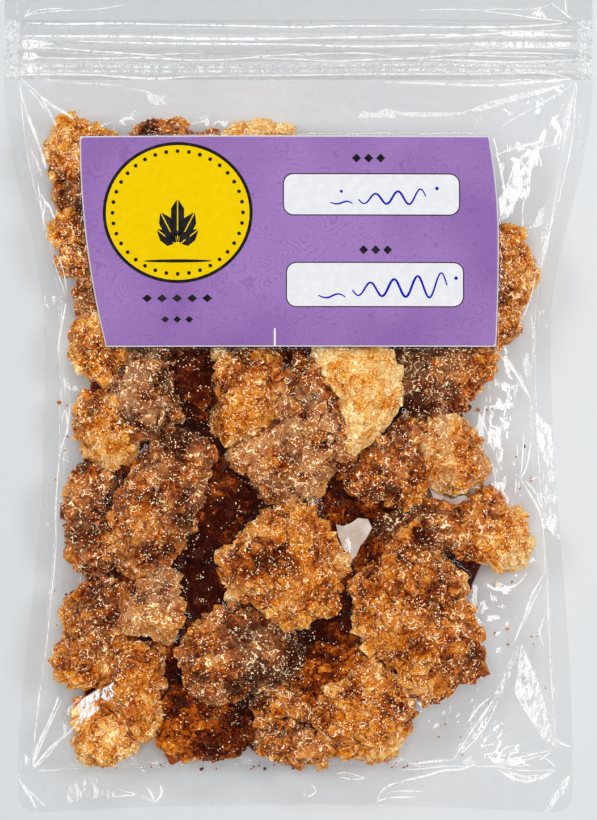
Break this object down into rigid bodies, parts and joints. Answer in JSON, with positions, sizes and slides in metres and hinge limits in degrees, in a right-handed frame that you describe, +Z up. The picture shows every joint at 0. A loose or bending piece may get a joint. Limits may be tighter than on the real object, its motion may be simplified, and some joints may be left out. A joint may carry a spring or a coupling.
{
  "type": "bag of rock candy",
  "caption": "Clear zip pouch filled with amber rock candy lumps, lying on its back, with a blank-faced purple label on the front.",
  "frame": {"origin": "under the middle of the pouch, on the surface that it lies on", "axes": "+Y along the pouch from its bottom seal to its zip; +Z up from the back to the front with the label; +X to the right as the front is seen with the zip at the top"},
  "size_m": [0.1744, 0.2516, 0.022],
  "materials": {
    "film": "thin clear crinkled plastic film, glossy",
    "candy": "translucent amber sugar crystals with pale frosted edges",
    "label": "printed coated paper, satin"
  },
  "bodies": {
    "root": {"pouch": "film", "label": "label", "zip_front": "film", "zip_back": "film"}
  },
  "joints": []
}
